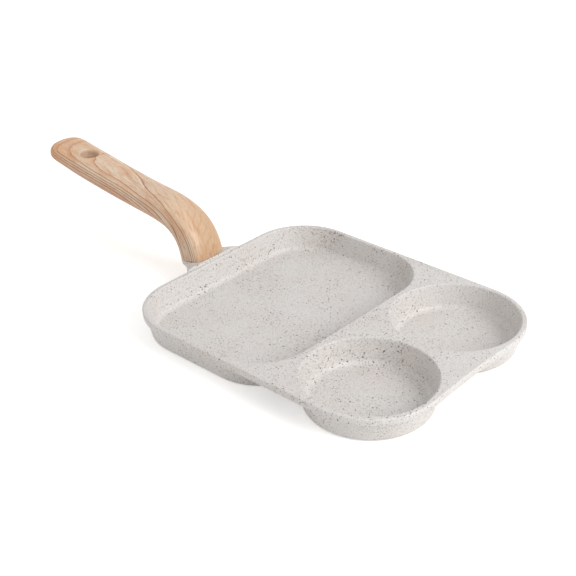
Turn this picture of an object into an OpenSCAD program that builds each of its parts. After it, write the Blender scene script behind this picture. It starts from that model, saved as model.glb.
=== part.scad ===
// Divided frying pan: one casting with a large compartment and two round cups, a bent wooden
// handle that stands on a cast neck, and the screw that clamps them together from below.
// Millimetres, +Z up. The origin is the centre of the large compartment's underside, on the
// surface that the pan stands on. The handle points to -X and the cups lie at +X.

/* [Compartments] */
// Radius of each round cup at the deck
cup_r = 45; // [38:1:52]
// Width of the deck between the two cups
cup_gap = 5.6; // [4:0.2:12]
// Length of the large compartment at the deck
basin_len = 134; // [115:1:160]
// Corner radius of the large compartment at the deck
basin_corner_r = 40; // [28:1:50]
// Width of the bar between the large compartment and the cups
divider_w = 4.8; // [4:0.2:12]

/* [Casting] */
// Height of the deck above the surface that the pan stands on
pan_h = 21; // [19:0.5:28]
// Thickness of the flat floors
floor_t = 2.8; // [2:0.1:4]
// Thickness of the walls, measured level
wall_t = 2.3; // [1.8:0.1:3]
// Thickness of the deck
deck_t = 3; // [2:0.1:4]
// Lean of the walls from upright, degrees
draft = 12; // [6:1:16]
// Radius between floor and wall, inside
floor_fillet = 4.2; // [2:0.2:6]
// Radius between underside and wall, outside
foot_r = 3.5; // [1.5:0.5:5]
// Rounding of the edge between deck and compartments
edge_r = 1.2; // [0.5:0.1:2]

/* [Lip] */
// Width of the deck outside the large compartment
rim_land = 3.8; // [3.4:0.1:8]
// Width of the deck outside the cups
cup_land = 4.1; // [3.4:0.1:8]
// Height of the lip that runs round the deck
lip_h = 5.6; // [4.2:0.1:8]
// Thickness of the lip
lip_t = 3; // [2.4:0.1:3.2]
// Lean of the lip's outer face, degrees
lip_draft = 5; // [1:1:12]
// Rounding of the lip's outer edges
lip_r = 1.2; // [0.4:0.1:1.2]
// Depth of the shallow dip in the far edge, between the cups
dip_depth = 1.2; // [0.6:0.1:1.4]
// Half length of that dip
dip_half = 40; // [30:1:44]

/* [Neck] */
// Lean of the joint between neck and handle, degrees
joint_tilt = 11.5; // [6:0.5:18]
// Height of the joint's inner edge above the deck
joint_rise = 1; // [0.4:0.1:3]
// Level distance of the joint's inner edge from the lip
joint_set = 1; // [0:0.2:3]
// Height of the neck's underside above the surface that the pan stands on
neck_foot_z = 5.2; // [3:0.1:6]
// Extra half width of the neck where it meets the lip
neck_flare = 16; // [8:0.5:20]

/* [Handle] */
// Length of the bend, level, from joint to grip
bend_run = 45; // [40:0.5:55]
// Height of the bend from joint to grip
bend_rise = 31.2; // [28:0.1:38]
// Slope of the grip where it starts, degrees
grip_slope = 5; // [2:0.5:9]
// Length of the grip, level
grip_run = 118.1; // [100:1:140]
// Height that the grip gains to its end
grip_rise = 16.7; // [12:0.5:22]
// Half thickness of the handle at the joint
joint_half_t = 11.6; // [11:0.2:14]
// Half width of the handle at the joint
joint_half_w = 15; // [14:0.2:18]
// Half thickness of the handle at the crown of the bend
bend_half_t = 10.4; // [9.5:0.1:11.5]
// Half width of the handle at the crown of the bend
bend_half_w = 15.2; // [14.5:0.1:17]
// Half thickness of the grip
grip_half_t = 8.5; // [7.5:0.1:10]
// Half width of the grip
grip_half_w = 16.6; // [15:0.2:20]
// Half thickness of the handle just before its end
tip_half_t = 6.4; // [5.5:0.1:8]
// Half width of the handle just before its end
tip_half_w = 17.4; // [16:0.2:20]
// Length of the rounding at the handle's end
tip_round = 14.5; // [10:0.5:20]
// Radius of the hanging hole
hole_r = 7; // [4:0.5:9]
// Rounding of the hanging hole's edges
hole_edge_r = 2.2; // [0.5:0.1:2.6]
// Distance of the hanging hole from the handle's end, level
hole_inset = 36; // [28:1:50]

/* [Fixing] */
// Thread diameter of the handle screw
screw_d = 6; // [5:0.5:6.5]
// Length of the screw under its head
screw_len = 25; // [22:0.5:27]
// Diameter of the screw head
head_d = 12; // [10:0.5:12.5]
// Height of the screw head
head_h = 4.2; // [3:0.1:5]
// Diameter of the two washers
washer_d = 12.5; // [11:0.1:13]
// Thickness of each washer
washer_t = 1.5; // [1:0.1:2]
// Depth of the screw's seat below the joint
seat_depth = 6; // [5:0.2:7]
// Width of the tang along the handle's thickness
tang_t = 12; // [10:0.2:13]
// Width of the tang across the handle
tang_w = 16; // [13:0.2:18]
// Height of the tang above the joint
tang_h = 8; // [6:0.2:9]
// Diameter of the threaded insert
insert_d = 10; // [9:0.2:11]
// Length of the threaded insert
insert_len = 10; // [8:0.2:11]
// Clearance of the parts that slide together
fit_gap = 0.2; // [0.1:0.05:0.3]

/* [Hidden] */
$fn = 96;
COATING = [0.84, 0.82, 0.79];
WOOD = [0.84, 0.68, 0.52];
BRASS = [0.78, 0.65, 0.36];
STEEL = [0.72, 0.73, 0.75];

// How far a cut runs past the face that it opens
over = 1;
// How far the swept sections reach in from the edge that they follow
reach = 14;
// Overlap between a swept section and the core that fills it
core_lap = 2;
// Overlap between the lip and the deck
lip_lap = 1;
// Arcs are drawn this much larger, so that they cross the sides that they round off
arc_lap = 1.001;

cup_x = basin_len / 2 + divider_w + cup_r;
cup_y = cup_r + cup_gap / 2;
plate_y = cup_y + cup_r + cup_land;
basin_y = plate_y - rim_land;
plate_x0 = -basin_len / 2 - rim_land;
plate_r0 = basin_corner_r + rim_land;
plate_r1 = cup_r + cup_land;
plate_x1 = cup_x + plate_r1;
wall_run = (pan_h - floor_t) * tan(draft);

joint_reach = joint_half_t * cos(joint_tilt);
joint_x = plate_x0 - joint_set - joint_reach;
joint_z = pan_h + joint_rise - joint_half_t * sin(joint_tilt);
grip_x = joint_x - bend_run;
grip_z = joint_z + bend_rise;
tip_x = grip_x - grip_run;
tip_z = grip_z + grip_rise;

// How far the neck's root runs in past the lip, and how far below the deck's top it ends there
neck_root = lip_t + 0.4;
neck_sink = 1.5;
// Place of the neck's root, and place where the neck starts to flare towards it
root_x = plate_x0 + neck_root;
flare_x = joint_x - joint_reach / 3;
// How the flare grows: 1 is a straight side, more is a hollow one
flare_power = 1.2;
// Height that is trimmed off the neck to leave its flat joint
joint_trim = 0.5;
// Depth of the neck's rounded shoulder where it meets the lip
neck_shoulder = 3.5;
// Roundness of the handle's section at the joint and along the grip, and of the neck's shoulder
// and belly: 2 is an ellipse, more is squarer
joint_power = 4;
grip_power = 2.6;
shoulder_power = 3;
belly_power = 2.4;
// How strongly the bend leaves the joint and meets the grip, as shares of its rise and run
bend_start_pull = 0.7;
bend_end_pull = 0.6;
// Roundness of the handle's end seen from the side and from above
tip_power_t = 2.2;
tip_power_w = 2.3;
// Length of the end's rounding seen from the side, as a share of that seen from above
tip_depth = 0.6;
// Points round a lofted section, and sections along each piece
ring_points = 48;
neck_steps = 12;
bend_steps = 14;
grip_steps = 12;
tip_steps = 8;
// Angle whose sine places the last section just short of a closed end
last_angle = 88;

// Corner radius of the tang
tang_corner_r = 3;
// Room round the washers in the screw's pocket
pocket_gap = 0.8;
// Room past the screw's end in the handle
screw_end_gap = 1;
// Play of the screw in its hole, and in the insert's thread
screw_play = 0.3;
thread_fit = 0.05;
screw_hole_r = screw_d / 2 + screw_play;
// Rounding of the screw head, and its cross recess
head_edge_r = 1.4;
slot_w = 1.3;
slot_l = 6.5;
slot_depth = 2.2;
// Width and lean of the spring washer's split
split_w = 1.2;
split_lean = 20;
// Heights along the screw, from the joint
insert_z = tang_h + fit_gap;
head_z = -seat_depth - 2 * washer_t;
screw_end = head_z + screw_len;

// A unit step at an angle from +X, in a plane
function step(a) = [cos(a), sin(a)];

// A power of a cosine or sine that keeps its sign
function signed_pow(v, e) = sign(v) * pow(abs(v), e);

// Point at t on the curve that the control points p draw, and its direction there
function bezier(p, t) =
    len(p) == 1 ? p[0] : bezier([for (i = [0:len(p) - 2]) p[i] * (1 - t) + p[i + 1] * t], t);
function bezier_dir(p, t) = let (d = bezier([for (i = [0:len(p) - 2]) p[i + 1] - p[i]], t)) d / norm(d);

// Value at s between stations [place, value], with a level run through each station
function eased(stations, s, i = 0) =
    i + 2 < len(stations) && s > stations[i + 1][0] ? eased(stations, s, i + 1) :
    let (a = stations[i], b = stations[i + 1], t = (s - a[0]) / (b[0] - a[0]))
    a[1] + (b[1] - a[1]) * t * t * (3 - 2 * t);

// Length along each side, from a corner with half angle a, to where the arc that rounds it starts
function arc_start(a, r) = r / tan(a) - r * sqrt(arc_lap * arc_lap - 1);

// The area between a corner at p and the arc of radius r that rounds it; the corner's sides leave p
// at the angles a and b, and the area runs out past them
module corner_web(p, a, b, r, out = 0) {
    half = acos(cos(a - b)) / 2;
    bisector = step(a) + step(b);
    c = p + bisector / norm(bisector) * r / sin(half);
    corners = [p, p + step(a) * r / tan(half), c, p + step(b) * r / tan(half)];
    difference() {
        polygon([for (q = corners) c + (q - c) * (1 + out / r)]);
        translate(c) circle(r * arc_lap);
    }
}

// Sections below are drawn with x as the distance in from an edge and y as the height

// Hollow of a compartment, with a rounded edge at the deck and a rounded foot
module hollow_section(inner) {
    edge_run = arc_start((90 + draft) / 2, edge_r);
    difference() {
        union() {
            polygon([[-edge_run, pan_h + over], [-edge_run, pan_h], [0, pan_h], [wall_run, floor_t],
                     [inner, floor_t], [inner, pan_h + over]]);
            corner_web([0, pan_h], 180, draft - 90, edge_r);
        }
        corner_web([wall_run, floor_t], 90 + draft, 0, floor_fillet);
    }
}

// Metal round a compartment, up to the middle of the deck
module shell_section(inner) {
    foot = pan_h * tan(draft) - wall_t;
    shell_h = pan_h - deck_t / 2;
    difference() {
        polygon([[foot, 0], [inner, 0], [inner, shell_h], [foot - shell_h * tan(draft), shell_h]]);
        corner_web([foot, 0], 90 + draft, 0, foot_r, over);
    }
}

// Lip, with its two outer edges rounded
module lip_section() {
    lean = tan(lip_draft);
    difference() {
        polygon([[0, pan_h], [lip_h * lean, pan_h - lip_h], [lip_t, pan_h - lip_h], [lip_t, pan_h]]);
        corner_web([0, pan_h], 0, lip_draft - 90, lip_r);
        corner_web([lip_h * lean, pan_h - lip_h], 0, 90 + lip_draft, lip_r);
    }
}

// Air outside the lip, down to just below it
module outside_section(out) {
    lean = tan(lip_draft);
    top_run = arc_start((90 - lip_draft) / 2, lip_r);
    foot_run = lip_h * lean + arc_start((90 + lip_draft) / 2, lip_r);
    polygon([[-out, pan_h + over], [top_run, pan_h + over], [top_run, pan_h], [0, pan_h],
             [lip_h * lean, pan_h - lip_h], [foot_run, pan_h - lip_h], [foot_run, pan_h - lip_h - over],
             [-out, pan_h - lip_h - over]]);
    corner_web([0, pan_h], 0, lip_draft - 90, lip_r);
    corner_web([lip_h * lean, pan_h - lip_h], 0, 90 + lip_draft, lip_r);
}

// Sweeps a section a quarter turn round a corner of radius r, from the angle a
module sweep_corner(x, y, r, a) {
    translate([x, y, 0]) rotate([0, 0, a]) rotate_extrude(angle = 90)
        translate([r, 0]) mirror([1, 0]) children();
}

// Sweeps a section all the way round a rounded rectangle from x0 to x1, of half width y,
// with corners of radius r0 at x0 and r1 at x1
module sweep_round(x0, x1, y, r0, r1) {
    for (side = [0, 1]) mirror([0, side, 0]) {
        translate([x0 + r0, -y, 0]) rotate([90, 0, 90]) linear_extrude(x1 - r1 - x0 - r0) children();
        sweep_corner(x0 + r0, r0 - y, r0, 180) children();
        sweep_corner(x1 - r1, r1 - y, r1, 270) children();
    }
    translate([x0, y - r0, 0]) rotate([90, 0, 0]) linear_extrude(2 * (y - r0)) children();
    translate([x1, r1 - y, 0]) rotate([90, 0, 180]) linear_extrude(2 * (y - r1)) children();
}

// A rounded rectangle as straight-sided area and four discs, each corner pair with its radius
module rounded_area(x0, x1, y, r0, r1) {
    polygon([[x0, y - r0], [x0 + r0, y], [x1 - r1, y], [x1, y - r1],
             [x1, r1 - y], [x1 - r1, -y], [x0 + r0, -y], [x0, r0 - y]]);
    for (side = [-1, 1]) {
        translate([x0 + r0, side * (y - r0)]) circle(r0);
        translate([x1 - r1, side * (y - r1)]) circle(r1);
    }
}

// Deck between the lips, with the lip swept round its edge
module deck() {
    inset = lip_t - lip_lap;
    translate([0, 0, pan_h - deck_t]) linear_extrude(deck_t)
        rounded_area(plate_x0 + inset, plate_x1 - inset, plate_y - inset,
                     plate_r0 - inset, plate_r1 - inset);
    sweep_round(plate_x0, plate_x1, plate_y, plate_r0, plate_r1) lip_section();
}

// Cut for the dip in the far edge, a long shallow arc that crosses the lip's straight face
module far_dip() {
    r = (dip_half * dip_half + dip_depth * dip_depth) / (2 * dip_depth);
    half_turn = asin(dip_half / r) + 0.5;
    translate([plate_x1 - dip_depth + r, 0, 0]) rotate([0, 0, 180 - half_turn])
        rotate_extrude(angle = 2 * half_turn) translate([r, 0]) outside_section(2 * dip_depth);
}

// The large compartment's core, inset from the rim, between two heights
module basin_core(z0, z1) {
    inset = reach - core_lap;
    x1 = basin_len / 2 - inset;
    r = basin_corner_r - inset;
    translate([0, 0, z0]) linear_extrude(z1 - z0) rounded_area(-x1, x1, basin_y - inset, r, r);
}

// Sweeps a section round the large compartment's edge
module round_basin() {
    sweep_round(-basin_len / 2, basin_len / 2, basin_y, basin_corner_r, basin_corner_r) children();
}

// Outside of the large compartment
module basin_shell() {
    round_basin() shell_section(reach);
    basin_core(0, pan_h - deck_t / 2);
}

// Inside of the large compartment
module basin_hollow() {
    round_basin() hollow_section(reach);
    basin_core(floor_t, pan_h + over);
}

// A section turned about the axis of each cup
module each_cup() {
    for (side = [-1, 1]) translate([cup_x, side * cup_y, 0]) rotate_extrude()
        translate([cup_r, 0]) mirror([1, 0]) children();
}

// Solid through a list of closed sections with the same number of points, first to last
module loft(sections) {
    m = len(sections[0]);
    last = len(sections) - 1;
    sides = [for (i = [0:last - 1]) for (j = [0:m - 1]) let (k = (j + 1) % m)
        each [[i * m + j, (i + 1) * m + j, (i + 1) * m + k], [i * m + j, (i + 1) * m + k, i * m + k]]];
    caps = [[for (j = [0:m - 1]) j], [for (j = [m - 1:-1:0]) last * m + j]];
    polyhedron([for (section = sections) each section], concat(sides, caps));
}

// Puts its children in the joint's frame: the origin in the joint's middle, +Z up the handle
module at_joint() {
    translate([joint_x, 0, joint_z]) rotate([0, -joint_tilt, 0]) children();
}

// Section of the neck at x, as a flat-topped bowl across the pan
function neck_section(x) =
    let (
        out = min(max((joint_x - x) / joint_reach, 0), 1),
        toward = (root_x - x) / (root_x - joint_x + joint_reach),
        spread = min(max((x - flare_x) / (root_x - flare_x), 0), 1),
        half_w = joint_half_w * pow(1 - pow(out, joint_power), 1 / joint_power)
            + neck_flare * pow(spread, flare_power),
        joint_top = joint_z + (min(x, plate_x0) - joint_x) * tan(joint_tilt) + joint_trim,
        sunk = max(x - plate_x0, 0) / neck_root,
        top = joint_top + (pan_h - neck_sink - joint_top) * sunk,
        cap = joint_trim + neck_shoulder * spread,
        belly = (top - cap - neck_foot_z) * pow(1 - pow(toward, belly_power), 1 / belly_power)
    )
    [for (j = [0:ring_points - 1])
        let (
            a = 360 * j / ring_points,
            above = cos(a) >= 0,
            e = 2 / (above ? shoulder_power : belly_power)
        )
        [x, half_w * signed_pow(sin(a), e), top - cap + (above ? cap : belly) * signed_pow(cos(a), e)]];

// Plan of the tang, or of its socket with a clearance all round
module tang_area(gap) {
    r = tang_corner_r + gap;
    rounded_area(-tang_t / 2 - gap, tang_t / 2 + gap, tang_w / 2 + gap, r, r);
}

// Cast neck: flares into the lip, bellies out below and is cut flat at the joint
module neck() {
    length = root_x - joint_x + joint_reach;
    difference() {
        loft([for (i = [0:neck_steps]) neck_section(root_x - length * sin(last_angle * i / neck_steps))]);
        at_joint() translate([-length, -plate_y, 0]) cube([2 * length, 2 * plate_y, pan_h]);
    }
    at_joint() translate([0, 0, -seat_depth / 2]) linear_extrude(seat_depth / 2 + tang_h)
        tang_area(0);
}

// Screw hole up through the neck and its tang, with a pocket for head and washers below
module neck_bores() {
    at_joint() {
        translate([0, 0, -seat_depth - over]) cylinder(r = screw_hole_r, h = seat_depth + tang_h + 2 * over);
        translate([0, 0, -seat_depth - joint_z]) cylinder(r = washer_d / 2 + pocket_gap, h = joint_z);
    }
}

module pan_body() {
    color(COATING) difference() {
        union() {
            deck();
            basin_shell();
            each_cup() shell_section(cup_r);
            neck();
        }
        far_dip();
        basin_hollow();
        each_cup() hollow_section(cup_r);
        neck_bores();
    }
}

// The handle's middle line, in the XZ plane: a bend up from the joint, then the grip
bend_line = [[joint_x, joint_z],
             [joint_x, joint_z] + bend_start_pull * bend_rise * step(90 + joint_tilt),
             [grip_x, grip_z] - bend_end_pull * bend_run * step(180 - grip_slope),
             [grip_x, grip_z]];
grip_line = [[grip_x, grip_z],
             [grip_x, grip_z] + grip_run / 2 / cos(grip_slope) * step(180 - grip_slope),
             [tip_x, tip_z]];

// Half thickness, half width and roundness of the handle at stations along it: 0 is the joint, 1 the
// start of the grip and 2 the handle's end
t_stations = [[0, joint_half_t], [0.75, bend_half_t], [1.25, grip_half_t], [1.6, grip_half_t],
              [2, tip_half_t]];
w_stations = [[0, joint_half_w], [0.75, bend_half_w], [1.35, grip_half_w], [2, tip_half_w]];
power_stations = [[0, joint_power], [0.8, grip_power], [2, grip_power]];

// How much of the section is left at a distance from the handle's end
function end_share(left, run, power) =
    let (t = min(max(1 - left / run, 0), 1)) pow(1 - pow(t, power), 1 / power);

// Section of the handle at s, square to its middle line
function handle_section(s) =
    let (
        line = s < 1 ? bend_line : grip_line,
        t = s < 1 ? s : s - 1,
        c = bezier(line, t),
        d = bezier_dir(line, t),
        left = (2 - s) * grip_run,
        half_t = eased(t_stations, s) * end_share(left, tip_round * tip_depth, tip_power_t),
        half_w = eased(w_stations, s) * end_share(left, tip_round, tip_power_w),
        e = 2 / eased(power_stations, s)
    )
    [for (j = [0:ring_points - 1])
        let (a = 360 * j / ring_points, up = half_t * signed_pow(cos(a), e))
        [c.x + up * d.y, half_w * signed_pow(sin(a), e), c.y - up * d.x]];

// Places of the sections: even along the bend and grip, and closing up towards the end
tip_share = tip_round / grip_run;
handle_places = concat(
    [for (i = [0:bend_steps - 1]) i / bend_steps],
    [for (i = [0:grip_steps - 1]) 1 + (1 - tip_share) * i / grip_steps],
    [for (i = [0:tip_steps]) 2 - tip_share * (1 - sin(last_angle * i / tip_steps))]);

// Cut for the hanging hole, with rounded edges at both faces
module hanging_hole() {
    t = 1 - hole_inset / grip_run;
    c = bezier(grip_line, t);
    d = bezier_dir(grip_line, t);
    half_t = eased(t_stations, 1 + t);
    translate([c.x, 0, c.y]) rotate([0, atan2(d.y, -d.x), 0]) {
        cylinder(r = hole_r, h = 4 * half_t, center = true);
        for (side = [0, 1]) mirror([0, 0, side]) rotate_extrude() {
            translate([0, half_t]) square([hole_r + hole_edge_r, half_t]);
            corner_web([hole_r, half_t], 0, -90, hole_edge_r);
        }
    }
}

module handle() {
    color(WOOD) difference() {
        loft([for (s = handle_places) handle_section(s)]);
        at_joint() {
            translate([0, 0, -over]) linear_extrude(over + tang_h + fit_gap)
                tang_area(fit_gap);
            cylinder(d = insert_d, h = insert_z + insert_len);
            cylinder(r = screw_hole_r, h = screw_end + screw_end_gap);
        }
        hanging_hole();
    }
}

module thread_insert() {
    color(BRASS) at_joint() translate([0, 0, insert_z]) difference() {
        cylinder(d = insert_d, h = insert_len);
        translate([0, 0, -over]) cylinder(r = screw_d / 2 + thread_fit, h = insert_len + 2 * over);
    }
}

// Pan-head screw with a cross recess
module handle_screw() {
    color(STEEL) at_joint() translate([0, 0, head_z]) {
        cylinder(d = screw_d, h = screw_len);
        difference() {
            rotate_extrude() difference() {
                translate([0, -head_h]) square([head_d / 2, head_h]);
                corner_web([head_d / 2, -head_h], 90, 180, head_edge_r);
            }
            for (turn = [0, 90]) rotate([0, 0, turn]) translate([-slot_l / 2, -slot_w / 2, -head_h - over])
                cube([slot_l, slot_w, slot_depth + over]);
        }
    }
}

// Plain ring of washer size, with its top face at z
module washer_ring(z, d) {
    translate([0, 0, z - washer_t]) difference() {
        cylinder(d = d, h = washer_t);
        translate([0, 0, -over]) cylinder(r = screw_hole_r, h = washer_t + 2 * over);
    }
}

module flat_washer() {
    color(STEEL) at_joint() washer_ring(-seat_depth, washer_d);
}

// Spring washer, closed flat by the screw, with its slanted split towards the handle's side
module spring_washer() {
    z = -seat_depth - washer_t;
    color(STEEL) at_joint() difference() {
        washer_ring(z, head_d);
        translate([-head_d / 2, 0, z - washer_t / 2]) rotate([split_lean, 0, 0])
            cube([head_d, split_w, 4 * washer_t], center = true);
    }
}

pan_body();
handle();
thread_insert();
handle_screw();
flat_washer();
spring_washer();
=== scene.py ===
"""Looks of the divided frying pan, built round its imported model.

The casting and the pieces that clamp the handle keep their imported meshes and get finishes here.
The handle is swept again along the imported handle's own line, smoother than its solid, and carries
the marks that its grain is drawn from. Lengths are metres, unless a name ends in _mm or a class
says that its sizes are millimetres.
"""

import logging
import math
from dataclasses import dataclass, field
from enum import Enum

import bpy
import numpy as np
from mathutils import Matrix, Vector


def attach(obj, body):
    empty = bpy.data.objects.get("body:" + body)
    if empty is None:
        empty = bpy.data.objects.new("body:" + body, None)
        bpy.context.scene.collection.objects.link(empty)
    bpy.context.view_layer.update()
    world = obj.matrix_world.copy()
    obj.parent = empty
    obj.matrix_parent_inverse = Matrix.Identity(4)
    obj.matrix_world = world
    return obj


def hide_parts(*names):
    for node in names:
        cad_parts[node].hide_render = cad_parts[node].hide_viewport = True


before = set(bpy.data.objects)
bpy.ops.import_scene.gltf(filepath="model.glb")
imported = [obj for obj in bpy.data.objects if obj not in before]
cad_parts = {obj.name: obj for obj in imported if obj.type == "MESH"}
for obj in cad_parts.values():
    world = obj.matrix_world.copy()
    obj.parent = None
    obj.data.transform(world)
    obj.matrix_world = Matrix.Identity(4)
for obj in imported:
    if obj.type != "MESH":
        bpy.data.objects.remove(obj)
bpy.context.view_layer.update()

LOG = logging.getLogger("divided_pan")
MM = 0.001
BODY = "root"
WHITE = (1.0, 1.0, 1.0, 1.0)

# Socket numbers of a colour mix
MIX_SHARE = 0
MIX_UNDER = 6
MIX_OVER = 7
MIX_RESULT = 2

Tree = bpy.types.NodeTree
Socket = bpy.types.NodeSocket
Colour = tuple[float, float, float, float]
Stations = tuple[tuple[float, float], ...]


def linear(hex_colour: str) -> Colour:
    """Turns an sRGB hex colour into linear values.

    Args:
        hex_colour: Colour such as "#D8D3CE".

    Returns:
        Linear red, green, blue and an alpha of 1.
    """
    channels = [int(hex_colour[i:i + 2], 16) / 255 for i in (1, 3, 5)]
    values = [c / 12.92 if c <= 0.04045 else ((c + 0.055) / 1.055) ** 2.4 for c in channels]
    return (*values, 1.0)


def add_node(tree: Tree, kind: str, inputs: dict | None = None, **settings: object) -> bpy.types.Node:
    """Adds a node with its settings, and gives its inputs values or links.

    Args:
        tree: Tree that the node is added to.
        kind: Blender's type name of the node.
        inputs: Socket name or number to a value, or to an output socket to link.
        **settings: Attributes of the node.

    Returns:
        The new node.
    """
    node = tree.nodes.new(kind)
    for name, value in settings.items():
        setattr(node, name, value)
    for key, value in (inputs or {}).items():
        if isinstance(value, Socket):
            tree.links.new(value, node.inputs[key])
        else:
            node.inputs[key].default_value = value
    return node


@dataclass(frozen=True)
class Band:
    """Stretch of a value over which something fades in: from low to high, from start to strength."""

    low: float
    high: float
    strength: float = 1.0
    start: float = 0.0

    def over(self, value: Socket) -> dict[str, Socket | float]:
        """Inputs of a Map Range node that fades with the value."""
        return {"Value": value, "From Min": self.low, "From Max": self.high,
                "To Min": self.start, "To Max": self.strength}


def laid_over(tree: Tree, share: Socket, under: Socket | Colour, over: Socket | Colour,
              band: Band | None = None) -> Socket:
    """Lays a colour over another.

    Args:
        tree: Tree that the nodes are added to.
        share: How much of the upper colour shows, from 0 to 1, or the value that the band reads.
        under: Lower colour, as a socket or linear values.
        over: Upper colour, as a socket or linear values.
        band: Stretch of the value over which the upper colour fades in, where there is one.

    Returns:
        The colour that shows.
    """
    if band:
        share = add_node(tree, "ShaderNodeMapRange", band.over(share)).outputs["Result"]
    mix = add_node(tree, "ShaderNodeMix", {
        MIX_SHARE: share, MIX_UNDER: under, MIX_OVER: over}, data_type="RGBA")
    return mix.outputs[MIX_RESULT]


def new_surface(name: str) -> tuple[bpy.types.Material, Tree, bpy.types.Node]:
    """Makes a material with one Principled shader.

    Args:
        name: Name of the material.

    Returns:
        The material, its tree and its shader node.
    """
    material = bpy.data.materials.new(name)
    material.use_nodes = True
    tree = material.node_tree
    tree.nodes.clear()
    shader = add_node(tree, "ShaderNodeBsdfPrincipled")
    add_node(tree, "ShaderNodeOutputMaterial", {"Surface": shader.outputs["BSDF"]})
    return material, tree, shader


@dataclass(frozen=True)
class Cloud:
    """Soft change of the coating's ground: its size, its other colour and where that comes in."""

    size_mm: float
    colour: str
    band: Band


@dataclass(frozen=True)
class FleckLayer:
    """One size of fleck in the coating: how far apart, how large, how many and how dark."""

    cell_mm: float
    radius_mm: float
    share: float
    dark: str
    warm: str


@dataclass(frozen=True)
class StoneCoating:
    """Sprayed non-stick coating on die-cast aluminium, warm white with dark and light flecks.

    It is cured in an oven, so it has a soft satin shine and a faint orange peel. The flecks lie
    thicker in some places than in others, as the spray fell.
    """

    ground: str = "#E0DDDA"
    # A slow drift between two whites, and the haze of pigment that is too small to see by itself
    clouds: tuple[Cloud, ...] = (
        Cloud(38.0, "#DDD7D3", Band(0.35, 0.65)),
        Cloud(1.0, "#C6C2BE", Band(0.45, 0.8)),
    )
    # Real flecks are 0.1 to 1.3 mm across. The finest are drawn a little coarser, so that they show
    layers: tuple[FleckLayer, ...] = (
        FleckLayer(1.1, 0.42, 0.5, "#F1EFEC", "#EAE3DC"),
        FleckLayer(0.8, 0.32, 0.8, "#7F7974", "#96877B"),
        FleckLayer(1.2, 0.44, 0.55, "#57514D", "#776559"),
        FleckLayer(2.2, 0.66, 0.4, "#3A3634", "#5A4A41"),
    )
    fleck_edge: Band = Band(1.0, 0.7)
    least_radius: float = 0.0001
    wobble_mm: float = 0.4
    wobble_cell_mm: float = 0.5
    spray_mm: float = 32.0
    spray_spread: float = 0.5
    peel_mm: float = 1.6
    peel_height_mm: float = 0.014
    roughness: float = 0.44
    ior: float = 1.48

    def material(self) -> bpy.types.Material:
        """Builds the coating's material.

        Returns:
            The material.
        """
        material, tree, shader = new_surface("stone_fleck_coating")
        place = add_node(tree, "ShaderNodeTexCoord").outputs["Object"]
        colour = self._ground_colour(tree, place)
        wobbled = self._wobbled(tree, place)
        spray = add_node(tree, "ShaderNodeTexNoise", {
            "Vector": place, "Scale": 1 / (self.spray_mm * MM), "Detail": 1.0})
        for layer in self.layers:
            colour = self._with_flecks(tree, wobbled, spray.outputs["Fac"], colour, layer)
        tree.links.new(colour, shader.inputs["Base Color"])
        peel = add_node(tree, "ShaderNodeTexNoise", {
            "Vector": place, "Scale": 1 / (self.peel_mm * MM), "Detail": 2.0})
        bump = add_node(tree, "ShaderNodeBump", {
            "Height": peel.outputs["Fac"], "Strength": 1.0, "Distance": self.peel_height_mm * MM})
        tree.links.new(bump.outputs["Normal"], shader.inputs["Normal"])
        shader.inputs["Roughness"].default_value = self.roughness
        shader.inputs["IOR"].default_value = self.ior
        return material

    def _ground_colour(self, tree: Tree, place: Socket) -> Socket:
        """Mixes the ground of the coating, beneath its flecks.

        Args:
            tree: Tree of the material.
            place: Place on the object.

        Returns:
            The ground's colour.
        """
        colour = linear(self.ground)
        for cloud in self.clouds:
            noise = add_node(tree, "ShaderNodeTexNoise", {
                "Vector": place, "Scale": 1 / (cloud.size_mm * MM), "Detail": 2.0})
            colour = laid_over(tree, noise.outputs["Fac"], colour, linear(cloud.colour), cloud.band)
        return colour

    def _wobbled(self, tree: Tree, place: Socket) -> Socket:
        """Moves places by fine noise, so that the flecks have ragged edges.

        Args:
            tree: Tree of the material.
            place: Place on the object.

        Returns:
            The moved place.
        """
        noise = add_node(tree, "ShaderNodeTexNoise", {
            "Vector": place, "Scale": 1 / (self.wobble_cell_mm * MM), "Detail": 1.0})
        shift = add_node(tree, "ShaderNodeVectorMath", {
            0: noise.outputs["Color"], 1: (0.5, 0.5, 0.5)}, operation="SUBTRACT")
        moved = add_node(tree, "ShaderNodeVectorMath", {
            0: shift.outputs[0], 1: (self.wobble_mm * MM,) * 3, 2: place}, operation="MULTIPLY_ADD")
        return moved.outputs[0]

    def _with_flecks(self, tree: Tree, place: Socket, spray: Socket, under: Socket,
                     layer: FleckLayer) -> Socket:
        """Lays one layer of flecks over a colour.

        Args:
            tree: Tree of the material.
            place: Place on the object.
            spray: How thick the spray fell, around 0.5.
            under: Colour beneath the flecks.
            layer: Size, share and colours of the flecks.

        Returns:
            The colour with the flecks on it.
        """
        cells = add_node(tree, "ShaderNodeTexVoronoi", {"Vector": place, "Scale": 1 / (layer.cell_mm * MM)})
        chance = add_node(tree, "ShaderNodeSeparateColor", {"Color": cells.outputs["Color"]})
        luck = add_node(tree, "ShaderNodeMath", {
            0: spray, 1: self.spray_spread, 2: chance.outputs["Red"]}, operation="MULTIPLY_ADD")
        even = self.spray_spread / 2
        size = Band(1 - layer.share + even, 1 + even, layer.radius_mm / layer.cell_mm, self.least_radius)
        radius = add_node(tree, "ShaderNodeMapRange", size.over(luck.outputs[0]))
        inside = add_node(tree, "ShaderNodeMath", {
            0: cells.outputs["Distance"], 1: radius.outputs["Result"]}, operation="DIVIDE")
        tone = laid_over(tree, chance.outputs["Green"], linear(layer.dark), linear(layer.warm))
        return laid_over(tree, inside.outputs[0], under, tone, self.fleck_edge)


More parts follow.
